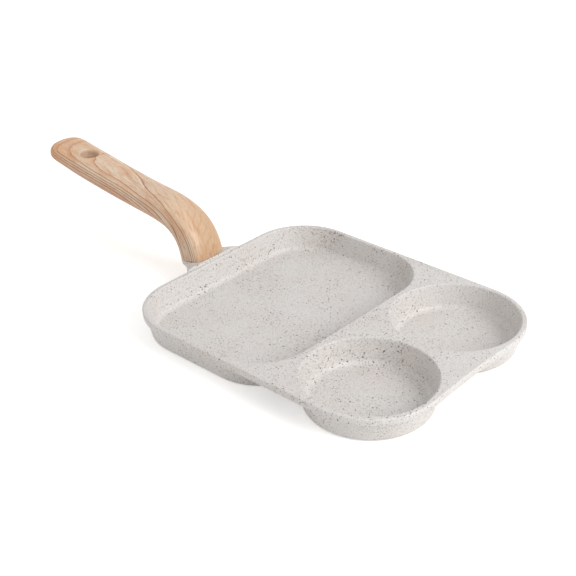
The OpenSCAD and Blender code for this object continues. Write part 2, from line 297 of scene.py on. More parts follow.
class Mark(Enum):
    """What the handle's mesh carries at each point for its finish."""

    PLACE = "grain_place"
    LAYER = "grain_age"
    BOLD = "grain_bold"
    GAP = "grain_gap"
    # Share of painted highlight, a pale grey in and round the hanging hole
    HOLE_HIGHLIGHT = "hole_highlight_share"


@dataclass(frozen=True)
class Waver:
    """Unevenness of the yearly layers: how far they stray, in layers, and its size in millimetres."""

    stray: float
    cell: float
    stretch: float = 8.0


@dataclass(frozen=True)
class Streak:
    """Soft marks along the grain: width in millimetres, how many times longer, and where they come in."""

    cell: float
    stretch: float
    band: Band


@dataclass(frozen=True)
class GrainLine:
    """Lines of one kind: how many start in a layer, how strong they are, and millimetres of width."""

    count: int
    strength: float
    width: float


@dataclass(frozen=True)
class LacqueredAsh:
    """Ash cut along the grain and lacquered: pale layers with thin brown lines and fine open pores.

    The lacquer adds a thin soft shine to the wood's own. The layers are read from the marks that the
    handle carries, so that the lines follow its bend. Lengths are millimetres.
    """

    pale: str = "#E7D2B7"
    tan: str = "#DCB188"
    rose: str = "#D1966C"
    # Honey by the joint on the right: partly the wood's own golden tone, partly painted shade, darkened
    # where that side takes less light
    honey_and_shade: str = "#AD8850"
    amber: str = "#DDA772"
    line: str = "#B96732"
    deep_line: str = "#823D1C"
    # Painted highlight: pale grey laid in and round the hanging hole for the light that its edge catches
    hole_highlight: str = "#CFC6B8"
    wavers: tuple[Waver, ...] = (Waver(0.2, 7.0), Waver(0.09, 1.6))
    # The line of each year, the shade behind it where its layer is wide, and finer lines between.
    # Ash has a line every 1 to 3 mm here; those thinner than 0.45 mm are drawn that wide to show
    shade: GrainLine = GrainLine(1, 0.3, 3.4)
    yearly: GrainLine = GrainLine(1, 0.95, 1.15)
    fine: GrainLine = GrainLine(3, 0.45, 0.45)
    darkest_at: float = 0.3
    # Layer thicknesses over which the ink deepens, and layer numbers over which lines come or go
    deepening: Band = Band(5.0, 2.6)
    past_middle: Band = Band(0.4, 0.7)
    near_middle: Band = Band(0.8, 1.6, 0.2, 1.0)
    # A layer takes its shade between this many line widths and this thickness
    shade_from: float = 2.1
    shade_full: float = 5.5
    # Colour by patches, by layer number, and by place along the handle and across it; the honey by the
    # joint on the right is partly painted shade
    patches: Streak = Streak(6.0, 5.0, Band(0.4, 0.68, 0.85))
    faint_tan: float = 0.4
    reddening: Band = Band(3.6, 7.5, 0.85)
    by_joint: Band = Band(50.0, 15.0)
    on_right: Band = Band(9.0, 16.0)
    by_tip: Band = Band(140.0, 168.0, 0.6)
    # Mottling, fibres and open pores. Real pores are 0.2 to 0.3 mm wide and are drawn wider to show
    streaks: tuple[Streak, ...] = (
        Streak(2.4, 6.0, Band(0.52, 0.74, 0.4)),
        Streak(0.7, 22.0, Band(0.46, 0.72, 0.24)),
        Streak(0.45, 9.0, Band(0.57, 0.7, 0.5)),
    )
    roughness: float = 0.4
    ior: float = 1.5
    coat_weight: float = 0.25
    coat_roughness: float = 0.25

    def material(self) -> bpy.types.Material:
        """Builds the wood's material.

        Returns:
            The material.
        """
        material, tree, shader = new_surface("lacquered_ash")
        marks = {mark: add_node(tree, "ShaderNodeAttribute", attribute_name=mark.value) for mark in Mark}
        place = marks[Mark.PLACE].outputs["Vector"]
        bold = marks[Mark.BOLD].outputs["Fac"]
        age = self._wavering(tree, place, marks[Mark.LAYER].outputs["Fac"])
        colour = self._tone(tree, place, age, bold)
        # Painted highlight: pale grey in and round the hanging hole
        colour = laid_over(tree, marks[Mark.HOLE_HIGHLIGHT].outputs["Fac"], colour, linear(self.hole_highlight))
        colour = self._lined(tree, age, marks[Mark.GAP].outputs["Fac"], bold, colour)
        colour = self._streaked(tree, place, colour)
        tree.links.new(colour, shader.inputs["Base Color"])
        shader.inputs["Roughness"].default_value = self.roughness
        shader.inputs["IOR"].default_value = self.ior
        shader.inputs["Coat Weight"].default_value = self.coat_weight
        shader.inputs["Coat Roughness"].default_value = self.coat_roughness
        return material

    def _noise(self, tree: Tree, place: Socket, cell: float, stretch: float, detail: float = 2.0) -> Socket:
        """Makes noise from 0 to 1 whose cells are drawn out along the grain.

        Args:
            tree: Tree of the material.
            place: Place in millimetres, with the grain along X.
            cell: Size of a cell across the grain.
            stretch: How many times longer a cell is along the grain.
            detail: Octaves of finer noise.

        Returns:
            The noise.
        """
        scale = (1 / (cell * stretch), 1 / cell, 1 / cell)
        cells = add_node(tree, "ShaderNodeVectorMath", {0: place, 1: scale}, operation="MULTIPLY")
        noise = add_node(tree, "ShaderNodeTexNoise", {
            "Vector": cells.outputs[0], "Scale": 1.0, "Detail": detail})
        return noise.outputs["Fac"]

    def _wavering(self, tree: Tree, place: Socket, age: Socket) -> Socket:
        """Makes the layers uneven, slowly and finely.

        Args:
            tree: Tree of the material.
            place: Place in the wood.
            age: Even layer number.

        Returns:
            The uneven layer number.
        """
        for waver in self.wavers:
            noise = self._noise(tree, place, waver.cell, waver.stretch)
            swing = Band(0.0, 1.0, waver.stray, -waver.stray)
            shift = add_node(tree, "ShaderNodeMapRange", swing.over(noise))
            age = add_node(tree, "ShaderNodeMath", {0: shift.outputs["Result"], 1: age}).outputs[0]
        return age

    def _tone(self, tree: Tree, place: Socket, age: Socket, bold: Socket) -> Socket:
        """Changes the colour slowly: redder in the outer layers, honey by the joint on its right side,
        which is partly the wood's own tone and partly painted shade, and amber at the tip.

        Args:
            tree: Tree of the material.
            place: Place in the wood.
            age: Layer number.
            bold: How strongly the lines show.

        Returns:
            The colour without lines.
        """
        patch_detail = 3.0
        noise = self._noise(tree, place, self.patches.cell, self.patches.stretch, patch_detail)
        patch = add_node(tree, "ShaderNodeMapRange", self.patches.band.over(noise))
        faint = add_node(tree, "ShaderNodeMath", {
            0: bold, 1: -self.faint_tan, 2: self.faint_tan}, operation="MULTIPLY_ADD")
        tanned = add_node(tree, "ShaderNodeMath", {
            0: faint.outputs[0], 1: patch.outputs["Result"]}, operation="MAXIMUM")
        colour = laid_over(tree, tanned.outputs[0], linear(self.pale), linear(self.tan))
        outer = add_node(tree, "ShaderNodeMapRange", self.reddening.over(age))
        rosy = add_node(tree, "ShaderNodeMath", {0: outer.outputs["Result"], 1: bold}, operation="MULTIPLY")
        colour = laid_over(tree, rosy.outputs[0], colour, linear(self.rose))
        spot = add_node(tree, "ShaderNodeSeparateXYZ", {"Vector": place})
        near = add_node(tree, "ShaderNodeMapRange", self.by_joint.over(spot.outputs["X"]))
        right = add_node(tree, "ShaderNodeMapRange", self.on_right.over(spot.outputs["Y"]))
        honey_and_shade_share = add_node(tree, "ShaderNodeMath", {
            0: near.outputs["Result"], 1: right.outputs["Result"]}, operation="MULTIPLY")
        # Honey by the joint on its right side, partly painted shade
        colour = laid_over(tree, honey_and_shade_share.outputs[0], colour, linear(self.honey_and_shade))
        return laid_over(tree, spot.outputs["X"], colour, linear(self.amber), self.by_tip)

    def _lined(self, tree: Tree, age: Socket, gap: Socket, bold: Socket, under: Socket) -> Socket:
        """Draws the yearly lines, each sharp where it starts and fading, with finer ones between.

        Args:
            tree: Tree of the material.
            age: Layer number.
            gap: Thickness of a layer there.
            bold: How strongly the lines show.
            under: Colour between the lines.

        Returns:
            The colour with the lines.
        """
        colour = under
        ink = laid_over(tree, gap, linear(self.line), linear(self.deep_line), self.deepening)
        roomy = Band(self.yearly.width * self.shade_from, self.shade_full)
        wide = add_node(tree, "ShaderNodeMapRange", roomy.over(gap))
        past = add_node(tree, "ShaderNodeMapRange", self.past_middle.over(age))
        near = add_node(tree, "ShaderNodeMapRange", self.near_middle.over(age))
        for line, where in ((self.shade, wide), (self.yearly, past), (self.fine, near)):
            layer = add_node(tree, "ShaderNodeMath", {0: age, 1: float(line.count)}, operation="MULTIPLY")
            share = add_node(tree, "ShaderNodeMath", {0: layer.outputs[0]}, operation="FRACT")
            depth = add_node(tree, "ShaderNodeMath", {
                0: share.outputs[0], 1: gap}, operation="MULTIPLY").outputs[0]
            end = line.width * line.count
            darkest = end * self.darkest_at
            rise = add_node(tree, "ShaderNodeMapRange", Band(0.0, darkest).over(depth))
            fall = add_node(tree, "ShaderNodeMapRange", Band(end, darkest, line.strength).over(depth),
                            interpolation_type="SMOOTHSTEP")
            shown = rise.outputs["Result"]
            for factor in (fall.outputs["Result"], where.outputs["Result"], bold):
                shown = add_node(tree, "ShaderNodeMath", {
                    0: shown, 1: factor}, operation="MULTIPLY").outputs[0]
            colour = laid_over(tree, shown, colour, ink)
        return colour

    def _streaked(self, tree: Tree, place: Socket, under: Socket) -> Socket:
        """Lays mottling, fibres and short dark pores over a colour.

        Args:
            tree: Tree of the material.
            place: Place in the wood.
            under: Colour beneath the streaks.

        Returns:
            The colour with the streaks.
        """
        colour = under
        for streak in self.streaks:
            noise = self._noise(tree, place, streak.cell, streak.stretch)
            colour = laid_over(tree, noise, colour, linear(self.line), streak.band)
        return colour


@dataclass(frozen=True)
class PlainMetal:
    """Turned or stamped metal: even colour, fine random grain in its shine."""

    name: str
    colour: str
    roughness: float
    # Tool marks are about 0.1 mm apart and are drawn as a grain of 0.4 mm, so that they show
    grain_mm: float = 0.4
    unevenness: tuple[float, float] = (0.8, 1.25)

    def material(self) -> bpy.types.Material:
        """Builds the metal's material.

        Returns:
            The material.
        """
        material, tree, shader = new_surface(self.name)
        place = add_node(tree, "ShaderNodeTexCoord").outputs["Object"]
        noise = add_node(tree, "ShaderNodeTexNoise", {
            "Vector": place, "Scale": 1 / (self.grain_mm * MM), "Detail": 3.0})
        smooth, rough = (self.roughness * share for share in self.unevenness)
        shine = Band(0.0, 1.0, rough, smooth)
        shone = add_node(tree, "ShaderNodeMapRange", shine.over(noise.outputs["Fac"]))
        tree.links.new(shone.outputs["Result"], shader.inputs["Roughness"])
        shader.inputs["Base Color"].default_value = linear(self.colour)
        shader.inputs["Metallic"].default_value = 1.0
        return material


class Metal(Enum):
    """The two metals of the handle's fixing."""

    STAINLESS = PlainMetal("stainless_steel", "#C4C5C8", 0.28)
    BRASS = PlainMetal("turned_brass", "#C9A45C", 0.3)


def dressed(name: str, material: bpy.types.Material) -> bpy.types.Object:
    """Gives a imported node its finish.

    Args:
        name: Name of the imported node.
        material: Finish for the whole node.

    Returns:
        The node's object.
    """
    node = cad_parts[name]
    node.data.materials.clear()
    node.data.materials.append(material)
    return node


@dataclass
class Casting:
    """The cast body with its three compartments, lip and neck."""

    node: str = "pan_body"
    finish: StoneCoating = field(default_factory=StoneCoating)

    def build(self) -> list[bpy.types.Object]:
        """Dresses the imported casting."""
        return [dressed(self.node, self.finish.material())]


def bezier(points: np.ndarray, t: np.ndarray) -> np.ndarray:
    """Works out points on the curve that control points draw.

    Args:
        points: Control points, one per row.
        t: Places from 0 to 1.

    Returns:
        One point per place.
    """
    rows = [np.tile(p, (len(t), 1)) for p in points]
    while len(rows) > 1:
        rows = [a * (1 - t)[:, None] + b * t[:, None] for a, b in zip(rows[:-1], rows[1:])]
    return rows[0]


def bezier_heading(points: np.ndarray, t: np.ndarray) -> np.ndarray:
    """Unit headings along the curve that control points draw, for the same arguments as bezier."""
    slope = bezier(np.diff(points, axis=0), t)
    return slope / np.linalg.norm(slope, axis=1)[:, None]


def run_along(points: np.ndarray) -> np.ndarray:
    """Lengths along a chain of points, from the first of them."""
    return np.concatenate([[0], np.cumsum(np.linalg.norm(np.diff(points, axis=0), axis=1))])


def eased(stations: Stations, s: np.ndarray) -> np.ndarray:
    """Works out values between stations, with a level run through each of them.

    Args:
        stations: Places with their values, in order.
        s: Places to work out.

    Returns:
        One value per place.
    """
    places = np.array([p for p, _ in stations])
    values = np.array([v for _, v in stations])
    i = np.clip(np.searchsorted(places, s, side="left") - 1, 0, len(stations) - 2)
    t = np.clip((s - places[i]) / (places[i + 1] - places[i]), 0, 1)
    return values[i] + (values[i + 1] - values[i]) * t * t * (3 - 2 * t)


def smoothed(stations: Stations, places: np.ndarray, blur: float) -> np.ndarray:
    """Works out values between stations, without kinks.

    Args:
        stations: Places with their values, in order.
        places: Places to work out.
        blur: How far to each side a value is averaged.

    Returns:
        One value per place.
    """
    at, values = zip(*stations)
    samples = 9
    offsets = np.linspace(-blur, blur, samples)
    return np.mean([np.interp(places + offset, at, values) for offset in offsets], axis=0)


def signed_power(values: np.ndarray, power: np.ndarray) -> np.ndarray:
    """Powers that keep the sign of their values."""
    return np.sign(values) * np.abs(values) ** power


@dataclass(frozen=True)
class GrainField:
    """Where the yearly layers run on the handle, in millimetres along it and degrees round it.

    The layers nest round a middle line that drifts from the left side at the joint to the top at the
    hole. They crowd towards the left edge, close in an arch past the hole and fade out on the right.
    """

    middle: Stations = ((0, -90.0), (20, -88.0), (42, -61.0), (55, -44.0), (67, -31.0), (87, -12.0),
                        (105, 0.0), (140, 20.0))
    heart: Stations = ((0, 6.0), (22, 8.0), (42, 12.0), (67, 16.0), (87, 20.0), (105, 31.0), (140, 54.0))
    left_layers: Stations = ((0, 0.0), (18, 1.0), (30, 2.0), (40, 3.0), (51, 4.0), (180, 15.0))
    right_layers: Stations = ((0, 0.0), (16, 1.0), (31, 2.0), (47, 3.0), (180, 11.0))
    arch: Stations = ((106, 0.0), (135, 1.0), (163, 2.0), (170, 3.0), (184, 6.0))
    joint_crowding: float = 1.9
    joint_run: float = 32.0
    fade_start: float = 4.0
    joint_fade_start: float = 15.0
    fade_run: float = 16.0
    under_start: float = 116.0
    arch_strength: float = 0.6
    faintest: float = 0.16
    blur: float = 12.0
    edge_blur: float = 3.0
    softness: float = 0.3
    soft_steps: int = 7
    mean_radius: float = 12.5
    thinnest: float = 2.3
    thickest: float = 30.0

    def _away(self, along: np.ndarray, angle: np.ndarray) -> np.ndarray:
        """Degrees from the middle line, negative to its left."""
        return (angle - smoothed(self.middle, along, self.blur) + 180) % 360 - 180

    def _joint_share(self, along: np.ndarray) -> np.ndarray:
        """How near the joint a place is, from 1 at the joint to 0."""
        return np.clip(1 - along / self.joint_run, 0, 1)

    def turned(self, along: np.ndarray, across: np.ndarray, through: np.ndarray) -> np.ndarray:
        """Turns places about the handle's line, so that the middle of the layers stays on top.

        Args:
            along: Places along the handle.
            across: Places across it.
            through: Places through its thickness.

        Returns:
            One turned place per row.
        """
        turn = np.radians(smoothed(self.middle, along, self.blur))
        sideways = across * np.cos(turn) - through * np.sin(turn)
        upwards = across * np.sin(turn) + through * np.cos(turn)
        return np.stack([along, sideways, upwards], -1)

    def layer(self, along: np.ndarray, angle: np.ndarray) -> np.ndarray:
        """Works out layer numbers.

        Args:
            along: Places along the handle.
            angle: Angles round it from the top, negative on the left.

        Returns:
            One number per place, 0 on the middle line.
        """
        heart = smoothed(self.heart, along, self.blur)
        crowding = 1 + (self.joint_crowding - 1) * self._joint_share(along)
        numbers = []
        for offset in np.linspace(-self.softness, self.softness, self.soft_steps):
            away = self._away(along, angle) + offset * heart
            past = np.clip(np.abs(away) - heart, 0, None) * crowding
            left = smoothed(self.left_layers, past, self.edge_blur)
            right = smoothed(self.right_layers, past, self.edge_blur)
            numbers.append(np.clip(np.abs(away) / heart, 0, 1) + np.where(away < 0, left, right))
        return np.hypot(np.mean(numbers, axis=0), smoothed(self.arch, along, self.edge_blur))

    def thickness(self, along: np.ndarray, angle: np.ndarray) -> np.ndarray:
        """Works out how thick the layers are on the surface.

        Args:
            along: Places along the handle.
            angle: Angles round it from the top.

        Returns:
            Millimetres from one layer to the next.
        """
        here = self.layer(along, angle)
        step_mm, step_degrees = 1.0, 2.0
        lengthways = (self.layer(along + step_mm, angle) - here) / step_mm
        arc = math.radians(step_degrees) * self.mean_radius
        sideways = (self.layer(along, angle + step_degrees) - here) / arc
        return 1 / np.clip(np.hypot(sideways, lengthways), 1 / self.thickest, 1 / self.thinnest)

    def boldness(self, along: np.ndarray, angle: np.ndarray) -> np.ndarray:
        """Works out how strongly the lines show.

        Args:
            along: Places along the handle.
            angle: Angles round it from the top.

        Returns:
            Strengths from faintest to 1.
        """
        away = self._away(along, angle)
        heart = smoothed(self.heart, along, self.blur)
        start = self.fade_start + self.joint_fade_start * self._joint_share(along)
        right = np.clip((away - heart - start) / self.fade_run, 0, 1)
        under = np.clip((np.abs(angle) - self.under_start) / self.fade_run, 0, 1)
        arched = np.clip(smoothed(self.arch, along, self.edge_blur), 0, 1)
        fade = np.maximum(right * (1 - self.arch_strength * arched), under)
        return 1 - (1 - self.faintest) * fade


@dataclass
class Handle:
    """The bent wooden handle, swept along its middle line in the XZ plane. Its sizes are millimetres."""

    node: str = "handle"
    slot: str = "wood"
    # The joint's place on the casting
    pan_h: float = 21.0
    joint_rise: float = 1.0
    joint_set: float = 1.0
    joint_tilt: float = 11.5
    rim_x: float = -70.8
    # The bend and the grip
    bend_run: float = 45.0
    bend_rise: float = 31.2
    bend_start_pull: float = 0.7
    bend_end_pull: float = 0.6
    grip_slope: float = 5.0
    grip_run: float = 118.1
    grip_rise: float = 16.7
    # The section, by place on the middle line: 0 at the joint, 1 where the grip starts, 2 at the end
    half_t: Stations = ((0, 11.6), (0.75, 10.4), (1.25, 8.5), (1.6, 8.5), (2, 6.4))
    half_w: Stations = ((0, 15.0), (0.75, 15.2), (1.35, 16.6), (2, 17.4))
    roundness: Stations = ((0, 4.0), (0.8, 2.6), (2, 2.6))
    tip_round: float = 14.5
    tip_depth: float = 0.6
    tip_power: tuple[float, float] = (2.2, 2.3)
    foot_chamfer: float = 0.35
    # The hanging hole, and how its cutter meets the curved faces
    hole_r: float = 7.0
    hole_edge_r: float = 2.2
    hole_inset: float = 36.0
    hole_lift: float = 0.04
    hole_arc: float = 84.0
    hole_flare: tuple[float, float] = (0.5, 0.6)
    # Painted highlight in and round the hanging hole, a pale grey for the light that its rounded edge
    # catches: how strong, how far out, and how it grows towards the tip
    hole_highlight_strength: float = 0.6
    highlight_reach: float = 0.85
    highlight_growth: tuple[float, float] = (0.45, 0.6)
    # The socket of the casting's tang, and the insert's hole past it
    tang: tuple[float, float, float] = (12.0, 16.0, 8.0)
    tang_corner_r: float = 3.0
    fit_gap: float = 0.2
    insert_d: float = 10.0
    insert_len: float = 10.0
    # How finely the mesh follows all that
    ring_points: int = 120
    foot_stations: tuple[float, ...] = (0.0, 0.002, 0.005, 0.01)
    bend_start: float = 0.02
    bend_sections: int = 62
    grip_sections: int = 90
    end_sections: int = 30
    last_angle: float = 89.6
    hole_points: int = 96
    hole_steps: int = 9
    insert_points: int = 64
    crease_angle: float = 35.0
    grain: GrainField = field(default_factory=GrainField)
    finish: LacqueredAsh = field(default_factory=LacqueredAsh)

    def __post_init__(self) -> None:
        """Works out the middle line's two pieces, as x and z in millimetres."""
        tilt = math.radians(self.joint_tilt)
        slope = math.radians(self.grip_slope)
        reach = self.half_t[0][1]
        joint = np.array([self.rim_x - self.joint_set - reach * math.cos(tilt),
                          self.pan_h + self.joint_rise - reach * math.sin(tilt)])
        start = joint + [-self.bend_run, self.bend_rise]
        end = start + [-self.grip_run, self.grip_rise]
        rise = np.array([-math.sin(tilt), math.cos(tilt)])
        level = np.array([-math.cos(slope), math.sin(slope)])
        self.joint = joint
        self.rise = rise
        self.bend_line = np.array([joint, joint + self.bend_start_pull * self.bend_rise * rise,
                                   start - self.bend_end_pull * self.bend_run * level, start])
        self.grip_line = np.array([start, start + self.grip_run / 2 / math.cos(slope) * level, end])

    def line(self, s: np.ndarray) -> tuple[np.ndarray, np.ndarray]:
        """Works out places and headings on the middle line.

        Args:
            s: 0 at the joint, 1 where the grip starts and 2 at the end.

        Returns:
            Points and unit headings, as x and z in millimetres.
        """
        on_bend = (s < 1)[:, None]
        bend_t = np.clip(s, 0, 1)
        grip_t = np.clip(s - 1, 0, 1)
        points = np.where(on_bend, bezier(self.bend_line, bend_t), bezier(self.grip_line, grip_t))
        headings = np.where(on_bend, bezier_heading(self.bend_line, bend_t),
                            bezier_heading(self.grip_line, grip_t))
        return points, headings

    def _stations(self) -> np.ndarray:
        """Spaces the swept sections along the middle line, closing up towards both ends.

        Returns:
            Places on the middle line, from 0 to 2.
        """
        share = self.tip_round / self.grip_run
        bend = np.linspace(self.bend_start, 1, self.bend_sections)
        grip = np.linspace(1, 2 - share, self.grip_sections)[1:]
        angles = np.radians(np.linspace(0, self.last_angle, self.end_sections)[1:])
        return np.concatenate([self.foot_stations, bend, grip, 2 - share * (1 - np.sin(angles))])

    def build(self) -> list[bpy.types.Object]:
        """Sweeps the handle, cuts its holes, marks its grain and puts it on the frame.

        Returns:
            The handle, as a list of one piece.
        """
        blank = self._sweep_blank()
        cutters = [self._hole_cutter(), self._tang_cutter(), self._insert_cutter()]
        for cutter in cutters:
            cut = blank.modifiers.new("cut", "BOOLEAN")
            cut.operation = "DIFFERENCE"
            cut.solver = "EXACT"
            cut.object = cutter
        handle = to_plain_mesh(blank, "ash_handle")
        for cutter in cutters:
            bpy.data.objects.remove(cutter)
        self._mark_grain(handle.data)
        handle.data.shade_smooth()
        handle.data.set_sharp_from_angle(angle=math.radians(self.crease_angle))
        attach(handle, BODY)
        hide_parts(self.node)
        return [handle]

    def _end_shares(self, s: np.ndarray) -> list[np.ndarray]:
        """Works out how much of its thickness and of its width the handle keeps towards its end.

        Args:
            s: Places on the middle line.

        Returns:
            Shares of the thickness and shares of the width.
        """
        left = (2 - s) * self.grip_run
        shares = []
        for run, power in zip((self.tip_round * self.tip_depth, self.tip_round), self.tip_power):
            t = np.clip(1 - left / run, 0, 1)
            shares.append((1 - t ** power) ** (1 / power))
        return shares

    def _sweep_blank(self) -> bpy.types.Object:
        """Makes the uncut handle with Geometry Nodes: a chain of stations, swept with one section.

        Returns:
            The chain's object, with the live modifier.
        """
        s = self._stations()
        points, _ = self.line(s)
        thick_share, wide_share = self._end_shares(s)
        chamfer = self.foot_chamfer * (1 - np.clip(run_along(points) / self.foot_chamfer, 0, 1))
        chain = bpy.data.meshes.new("handle_line")
        places = [(x * MM, 0.0, z * MM) for x, z in points]
        chain.from_pydata(places, [(i, i + 1) for i in range(len(places) - 1)], [])
        sizes = {"half_t": (eased(self.half_t, s) * thick_share - chamfer) * MM,
                 "half_w": (eased(self.half_w, s) * wide_share - chamfer) * MM,
                 "roundness": eased(self.roundness, s)}
        for name, values in sizes.items():
            attribute = chain.attributes.new(name, "FLOAT", "POINT")
            attribute.data.foreach_set("value", values.astype(np.float32))
        blank = bpy.data.objects.new("handle_blank", chain)
        bpy.context.scene.collection.objects.link(blank)
        tree = section_sweep_tree()
        sweep = blank.modifiers.new("sweep", "NODES")
        sweep.node_group = tree
        values = {"Points": self.ring_points, "Material": self.finish.material()}
        for item in tree.interface.items_tree:
            if item.item_type == "SOCKET" and item.name in values:
                sweep[item.identifier] = values[item.name]
        return blank

    def _hole_place(self) -> tuple[np.ndarray, np.ndarray, float]:
        """Finds the hanging hole on the middle line.

        Returns:
            Its middle, the line's heading there, and its place on the line.
        """
        s = 2 - self.hole_inset / self.grip_run
        points, headings = self.line(np.array([s]))
        return points[0], headings[0], s

    def _surface_height(self, s: np.ndarray, across: np.ndarray) -> np.ndarray:
        """Works out how high the handle's face lies over its middle line.

        Args:
            s: Places on the middle line.
            across: Millimetres across it.

        Returns:
            Heights in millimetres.
        """
        power = eased(self.roundness, s)
        share = np.clip(np.abs(across) / eased(self.half_w, s), 0, 1)
        return eased(self.half_t, s) * (1 - share ** power) ** (1 / power)

    def _hole_profile(self) -> list[tuple[float, float]]:
        """Works out the hole's rounded edge, from its wall outwards.

        Returns:
            Radii with their depths below the face.
        """
        profile = []
        for angle in np.radians(np.linspace(0, self.hole_arc, self.hole_steps)):
            profile.append((self.hole_r + self.hole_edge_r * (1 - math.cos(angle)),
                            self.hole_edge_r * (1 - math.sin(angle)) - self.hole_lift))
        radius, depth = profile[-1]
        profile.append((radius + self.hole_flare[0], depth - self.hole_flare[1]))
        return profile

    def _hole_cutter(self) -> bpy.types.Object:
        """Makes the cutter of the hanging hole, flared to round its edges on the curved faces.

        Returns:
            The cutter.
        """
        centre, heading, s = self._hole_place()
        turns = np.radians(np.linspace(0, 360, self.hole_points, endpoint=False))
        rings = []
        for side in (1, -1):
            half = []
            for radius, depth in self._hole_profile():
                along = radius * np.cos(turns)
                across = radius * np.sin(turns)
                height = side * (self._surface_height(s + along / self.grip_run, across) - depth)
                x = centre[0] + heading[0] * along + heading[1] * height
                z = centre[1] + heading[1] * along - heading[0] * height
                half.append(np.stack([x, across, z], -1))
            rings.extend(half[::-1] if side > 0 else half)
        return closed_loft("hole_cutter", rings)

    def _tang_cutter(self) -> bpy.types.Object:
        """Makes the cutter of the socket that the casting's tang stands in.

        Returns:
            The cutter.
        """
        gap = self.fit_gap
        depth, width, height = self.tang
        outline = rounded_outline(depth / 2 + gap, width / 2 + gap, self.tang_corner_r + gap)
        return closed_loft("tang_cutter", [self._at_joint(outline, z) for z in (-1.0, height + gap)])

    def _insert_cutter(self) -> bpy.types.Object:
        """Makes the cutter of the hole that the threaded insert is pressed into.

        Returns:
            The cutter.
        """
        turns = np.radians(np.linspace(0, 360, self.insert_points, endpoint=False))
        outline = np.stack([np.cos(turns), np.sin(turns)], -1) * self.insert_d / 2
        start = self.tang[2]
        top = start + self.fit_gap + self.insert_len
        return closed_loft("insert_cutter", [self._at_joint(outline, z) for z in (start - 1.0, top)])

    def _at_joint(self, outline: np.ndarray, height: float) -> np.ndarray:
        """Lays a flat outline square to the handle's foot.

        Args:
            outline: Points of the outline, one per row.
            height: Height above the joint.

        Returns:
            Points in millimetres, one per row.
        """
        x = self.joint[0] + outline[:, 0] * self.rise[1] + height * self.rise[0]
        z = self.joint[1] - outline[:, 0] * self.rise[0] + height * self.rise[1]
        return np.stack([x, outline[:, 1], z], -1)

    def _unrolled(self, co: np.ndarray) -> tuple[np.ndarray, np.ndarray, np.ndarray]:
        """Reads where points lie on the handle.

        Args:
            co: Points in millimetres, one per row.

        Returns:
            Millimetres from the joint, degrees from the top, negative on the left, and millimetres
            over the middle line.
        """
        bend_samples, grip_samples = 200, 400
        s = np.concatenate([np.linspace(0, 1, bend_samples), np.linspace(1, 2, grip_samples)[1:]])
        points, headings = self.line(s)
        flat = co[:, [0, 2]]
        nearest = np.array([np.argmin(((points - p) ** 2).sum(1)) for p in flat])
        heading = headings[nearest]
        away = flat - points[nearest]
        through = away[:, 0] * heading[:, 1] - away[:, 1] * heading[:, 0]
        along = run_along(points)[nearest] + (away * heading).sum(1)
        power = eased(self.roundness, s[nearest]) / 2
        sideways = signed_power(co[:, 1] / eased(self.half_w, s[nearest]), power)
        upwards = signed_power(through / eased(self.half_t, s[nearest]), power)
        return along, np.degrees(np.arctan2(sideways, upwards)), through

    def _hole_highlight_share(self, co: np.ndarray) -> np.ndarray:
        """Works out the painted highlight, a pale grey laid in the hanging hole and round it.

        Args:
            co: Points in millimetres, one per row.

        Returns:
            One share per point, from 0 to 1.
        """
        centre, heading, _ = self._hole_place()
        towards_tip = (co[:, [0, 2]] - centre) @ heading
        from_hole = np.hypot(towards_tip, co[:, 1]) - self.hole_r
        hole_highlight = np.clip(1 - from_hole / (self.hole_edge_r * self.highlight_reach), 0, 1) * self.hole_highlight_strength
        level, growth = self.highlight_growth
        return hole_highlight * np.clip(level + growth * towards_tip / self.hole_r, 0, 1)

    def _mark_grain(self, mesh: bpy.types.Mesh) -> None:
        """Stores for each point its place in the wood, its layer, how thick and bold that is, and its share
        of painted highlight.

        Args:
            mesh: Finished mesh of the handle.
        """
        co = np.empty(len(mesh.vertices) * 3, np.float32)
        mesh.vertices.foreach_get("co", co)
        co = co.reshape(-1, 3) / MM
        along, angle, through = self._unrolled(co)
        places = self.grain.turned(along, co[:, 1], through)
        stored = mesh.attributes.new(Mark.PLACE.value, "FLOAT_VECTOR", "POINT")
        stored.data.foreach_set("vector", places.astype(np.float32).ravel())
        marks = {Mark.HOLE_HIGHLIGHT: self._hole_highlight_share(co),
                 Mark.LAYER: self.grain.layer(along, angle),
                 Mark.GAP: self.grain.thickness(along, angle),
                 Mark.BOLD: self.grain.boldness(along, angle)}
        for mark, values in marks.items():
            stored = mesh.attributes.new(mark.value, "FLOAT", "POINT")
            stored.data.foreach_set("value", values.astype(np.float32))


def rounded_outline(half_x: float, half_y: float, radius: float, steps: int = 8) -> np.ndarray:
    """Works out points round a rounded rectangle.

    Args:
        half_x: Half size along x.
        half_y: Half size along y.
        radius: Corner radius.
        steps: Steps in each corner.

    Returns:
        One point per row, turning from x to y.
    """
    points = []
    for quarter, (sx, sy) in enumerate(((1, 1), (-1, 1), (-1, -1), (1, -1))):
        for angle in np.radians(90 * quarter + np.linspace(0, 90, steps + 1)):
            points.append((sx * (half_x - radius) + radius * math.cos(angle),
                           sy * (half_y - radius) + radius * math.sin(angle)))
    return np.array(points)


